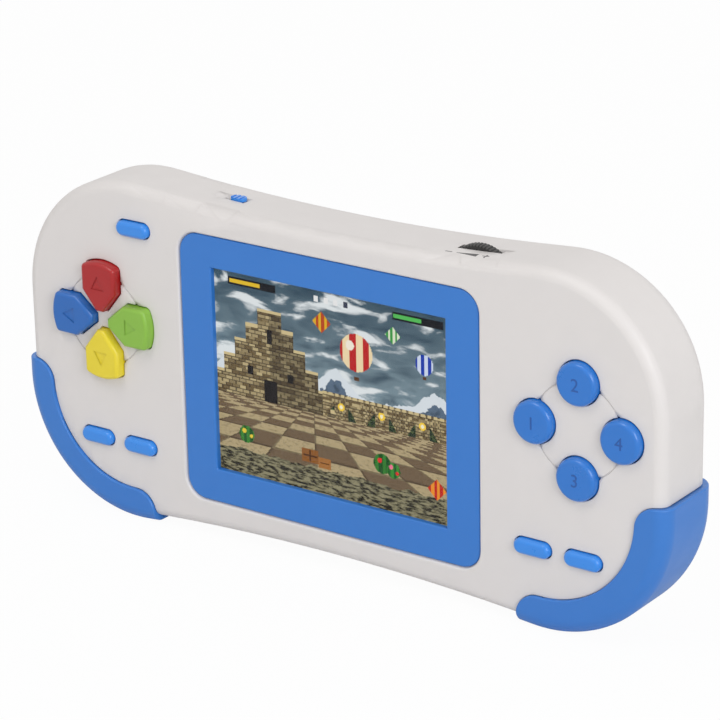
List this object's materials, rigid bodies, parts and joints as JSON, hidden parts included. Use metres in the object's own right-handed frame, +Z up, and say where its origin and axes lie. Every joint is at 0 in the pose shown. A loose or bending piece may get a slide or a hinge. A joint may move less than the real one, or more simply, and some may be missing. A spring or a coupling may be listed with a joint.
{
  "type": "handheld game console",
  "caption": "Flat handheld game console with a colour screen between direction keys and round action keys, standing on two corner grips.",
  "frame": {"origin": "middle of the bounding box at the floor, between the lowest lines of the two grips", "axes": "+X to the right seen from the front, +Y from the screen to the back, +Z up; the screen faces -Y"},
  "size_m": [0.1528, 0.0242, 0.072],
  "materials": {
    "casing_white": "satin moulded",
    "grip_blue": "satin moulded",
    "bezel_blue": "satin moulded",
    "lens_clear": "clear, polished",
    "display": "lit colour display",
    "tray_grey": "moulded",
    "ribbon_film": "flexible film",
    "key_red": "satin moulded",
    "key_green": "satin moulded",
    "key_yellow": "satin moulded",
    "key_blue": "satin moulded",
    "membrane_rubber": "translucent silicone",
    "board_green": "solder mask",
    "chip_black": "moulded",
    "can_aluminium": "brushed",
    "wheel_black": "fine ribbed",
    "part_black": "moulded",
    "steel": "plated",
    "contact_steel": "nickel plated",
    "speaker_grey": "painted basket",
    "cell_jacket": "printed jacket"
  },
  "bodies": {
    "console": {"front_casing": "casing_white", "rear_casing": "casing_white", "left_grip": "grip_blue", "right_grip": "grip_blue", "screen_bezel": "bezel_blue", "screen_lens": "lens_clear", "display_panel": "display", "display_tray": "tray_grey", "display_ribbon": "ribbon_film", "direction_membrane": "membrane_rubber", "action_membrane": "membrane_rubber", "left_pair_membrane": "membrane_rubber", "right_pair_membrane": "membrane_rubber", "reset_membrane": "membrane_rubber", "main_board": "board_green", "main_chip": "chip_black", "memory_chip": "chip_black", "capacitors": "can_aluminium", "volume_potentiometer": "part_black", "wheel_clip": "steel", "switch_body": "steel", "speaker": "speaker_grey", "casing_screws": "steel", "board_screws": "steel", "battery_cell_upper": "cell_jacket", "battery_cell_middle": "cell_jacket", "battery_cell_lower": "cell_jacket", "battery_contacts_left": "contact_steel", "battery_contacts_right": "contact_steel"},
    "up_key": {"up_key": "key_red"},
    "right_key": {"right_key": "key_green"},
    "down_key": {"down_key": "key_yellow"},
    "left_key": {"left_key": "key_blue"},
    "action_key_up": {"action_key_up": "key_blue"},
    "action_key_right": {"action_key_right": "key_blue"},
    "action_key_down": {"action_key_down": "key_blue"},
    "action_key_left": {"action_key_left": "key_blue"},
    "reset_key": {"reset_key": "key_blue"},
    "left_pair_outer_key": {"left_pair_outer_key": "key_blue"},
    "left_pair_inner_key": {"left_pair_inner_key": "key_blue"},
    "right_pair_inner_key": {"right_pair_inner_key": "key_blue"},
    "right_pair_outer_key": {"right_pair_outer_key": "key_blue"},
    "volume_wheel": {"volume_wheel": "wheel_black"},
    "switch_knob": {"switch_knob": "key_blue"},
    "battery_cover": {"battery_cover": "casing_white"}
  },
  "joints": [
    {"name": "up_key_press", "type": "slide", "parent": "console", "child": "up_key", "axis": [0, 1, 0], "range_m": [0, 0.0011], "stiffness_N_per_m": 500, "springref_m": -0.0004, "deforming": ["direction_membrane"]},
    {"name": "right_key_press", "type": "slide", "parent": "console", "child": "right_key", "axis": [0, 1, 0], "range_m": [0, 0.0011], "stiffness_N_per_m": 500, "springref_m": -0.0004, "deforming": ["direction_membrane"]},
    {"name": "down_key_press", "type": "slide", "parent": "console", "child": "down_key", "axis": [0, 1, 0], "range_m": [0, 0.0011], "stiffness_N_per_m": 500, "springref_m": -0.0004, "deforming": ["direction_membrane"]},
    {"name": "left_key_press", "type": "slide", "parent": "console", "child": "left_key", "axis": [0, 1, 0], "range_m": [0, 0.0011], "stiffness_N_per_m": 500, "springref_m": -0.0004, "deforming": ["direction_membrane"]},
    {"name": "action_key_up_press", "type": "slide", "parent": "console", "child": "action_key_up", "axis": [0, 1, 0], "range_m": [0, 0.0011], "stiffness_N_per_m": 500, "springref_m": -0.0004, "deforming": ["action_membrane"]},
    {"name": "action_key_right_press", "type": "slide", "parent": "console", "child": "action_key_right", "axis": [0, 1, 0], "range_m": [0, 0.0011], "stiffness_N_per_m": 500, "springref_m": -0.0004, "deforming": ["action_membrane"]},
    {"name": "action_key_down_press", "type": "slide", "parent": "console", "child": "action_key_down", "axis": [0, 1, 0], "range_m": [0, 0.0011], "stiffness_N_per_m": 500, "springref_m": -0.0004, "deforming": ["action_membrane"]},
    {"name": "action_key_left_press", "type": "slide", "parent": "console", "child": "action_key_left", "axis": [0, 1, 0], "range_m": [0, 0.0011], "stiffness_N_per_m": 500, "springref_m": -0.0004, "deforming": ["action_membrane"]},
    {"name": "reset_key_press", "type": "slide", "parent": "console", "child": "reset_key", "axis": [0, 1, 0], "range_m": [0, 0.0011], "stiffness_N_per_m": 500, "springref_m": -0.0004, "deforming": ["reset_membrane"]},
    {"name": "left_pair_outer_key_press", "type": "slide", "parent": "console", "child": "left_pair_outer_key", "axis": [0, 1, 0], "range_m": [0, 0.0011], "stiffness_N_per_m": 500, "springref_m": -0.0004, "deforming": ["left_pair_membrane"]},
    {"name": "left_pair_inner_key_press", "type": "slide", "parent": "console", "child": "left_pair_inner_key", "axis": [0, 1, 0], "range_m": [0, 0.0011], "stiffness_N_per_m": 500, "springref_m": -0.0004, "deforming": ["left_pair_membrane"]},
    {"name": "right_pair_inner_key_press", "type": "slide", "parent": "console", "child": "right_pair_inner_key", "axis": [0, 1, 0], "range_m": [0, 0.0011], "stiffness_N_per_m": 500, "springref_m": -0.0004, "deforming": ["right_pair_membrane"]},
    {"name": "right_pair_outer_key_press", "type": "slide", "parent": "console", "child": "right_pair_outer_key", "axis": [0, 1, 0], "range_m": [0, 0.0011], "stiffness_N_per_m": 500, "springref_m": -0.0004, "deforming": ["right_pair_membrane"]},
    {"name": "volume_turn", "type": "hinge", "parent": "console", "child": "volume_wheel", "pos_m": [0.0319, -0.00363, 0.06448], "axis": [0, 1, 0], "range_deg": [-135, 135]},
    {"name": "power_slide", "type": "slide", "parent": "console", "child": "switch_knob", "axis": [1, 0, 0], "range_m": [-0.0026, 0]},
    {"name": "cover_swing", "type": "hinge", "parent": "console", "child": "battery_cover", "pos_m": [0, 0.01208, 0.0546], "axis": [1, 0, 0], "range_deg": [0, 60]}
  ]
}
